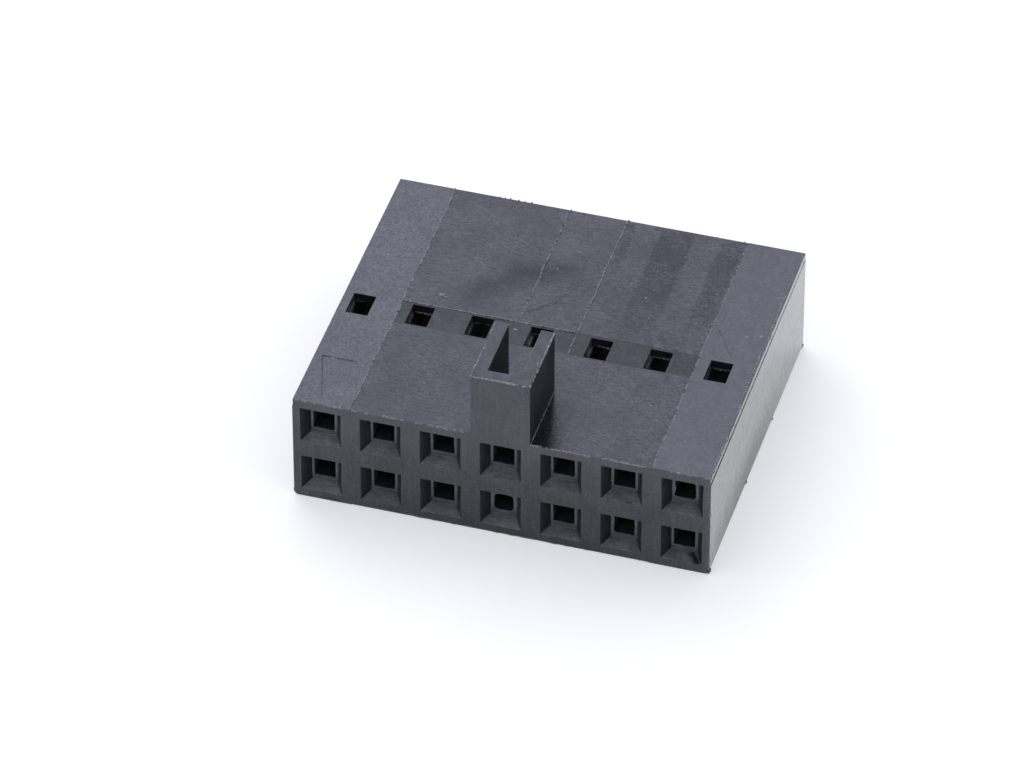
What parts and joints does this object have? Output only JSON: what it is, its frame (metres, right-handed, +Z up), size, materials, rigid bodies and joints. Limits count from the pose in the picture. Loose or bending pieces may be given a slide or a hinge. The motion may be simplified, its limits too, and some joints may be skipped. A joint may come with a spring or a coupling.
{
  "type": "crimp connector housing",
  "caption": "Flat black moulded housing for crimp terminals: two rows of square pin mouths in the mating face, latch windows above and below, and an upright U-shaped polarising key.",
  "frame": {"origin": "centre of the underside, below the middle of the bounding box", "axes": "+X along the row of contacts, away from the first contact; +Y from the mating face to the wire face; +Z up, towards the key"},
  "size_m": [0.0176, 0.015, 0.0081],
  "materials": {
    "housing": "black moulded polyester, satin, with brushed tool marks on the top"
  },
  "bodies": {
    "root": {"housing": "housing"}
  },
  "joints": []
}
